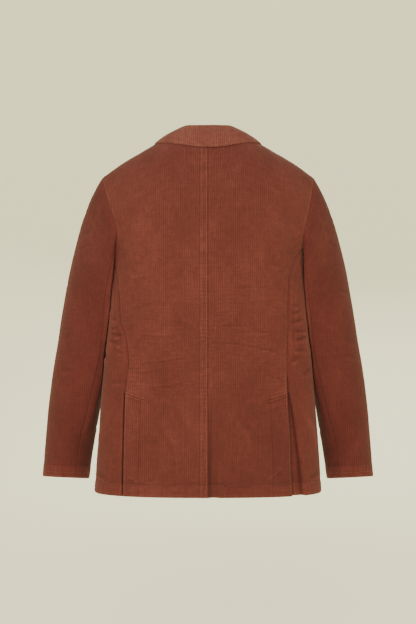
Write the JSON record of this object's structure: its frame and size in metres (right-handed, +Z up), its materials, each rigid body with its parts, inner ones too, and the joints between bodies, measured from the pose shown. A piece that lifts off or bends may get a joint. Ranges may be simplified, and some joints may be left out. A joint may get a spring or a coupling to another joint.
{
  "type": "corduroy jacket",
  "caption": "Single-breasted corduroy jacket with notch lapels, long tailored sleeves, a lapped centre-back seam and side vents, filled out as if worn.",
  "frame": {"origin": "middle of the neck opening at the level of the neck points, where the wearer's shoulders carry the jacket", "axes": "+Z up, +Y to the wearer's front, +X to the wearer's right"},
  "size_m": [0.7158, 0.2581, 0.7645],
  "materials": {
    "corduroy": "rust-brown cotton corduroy, matt pile",
    "corduroy_sleeves": "the same corduroy, its pile turned a little darker",
    "buttons": "dark brown, softly polished"
  },
  "bodies": {
    "root": {"back_left": "corduroy", "back_right": "corduroy", "side_left": "corduroy", "side_right": "corduroy", "front_left": "corduroy", "front_right": "corduroy", "lapel_left": "corduroy", "lapel_right": "corduroy", "collar": "corduroy", "sleeve_top_left": "corduroy_sleeves", "sleeve_top_right": "corduroy_sleeves", "sleeve_under_left": "corduroy_sleeves", "sleeve_under_right": "corduroy_sleeves", "button_upper": "buttons", "button_lower": "buttons"}
  },
  "joints": []
}
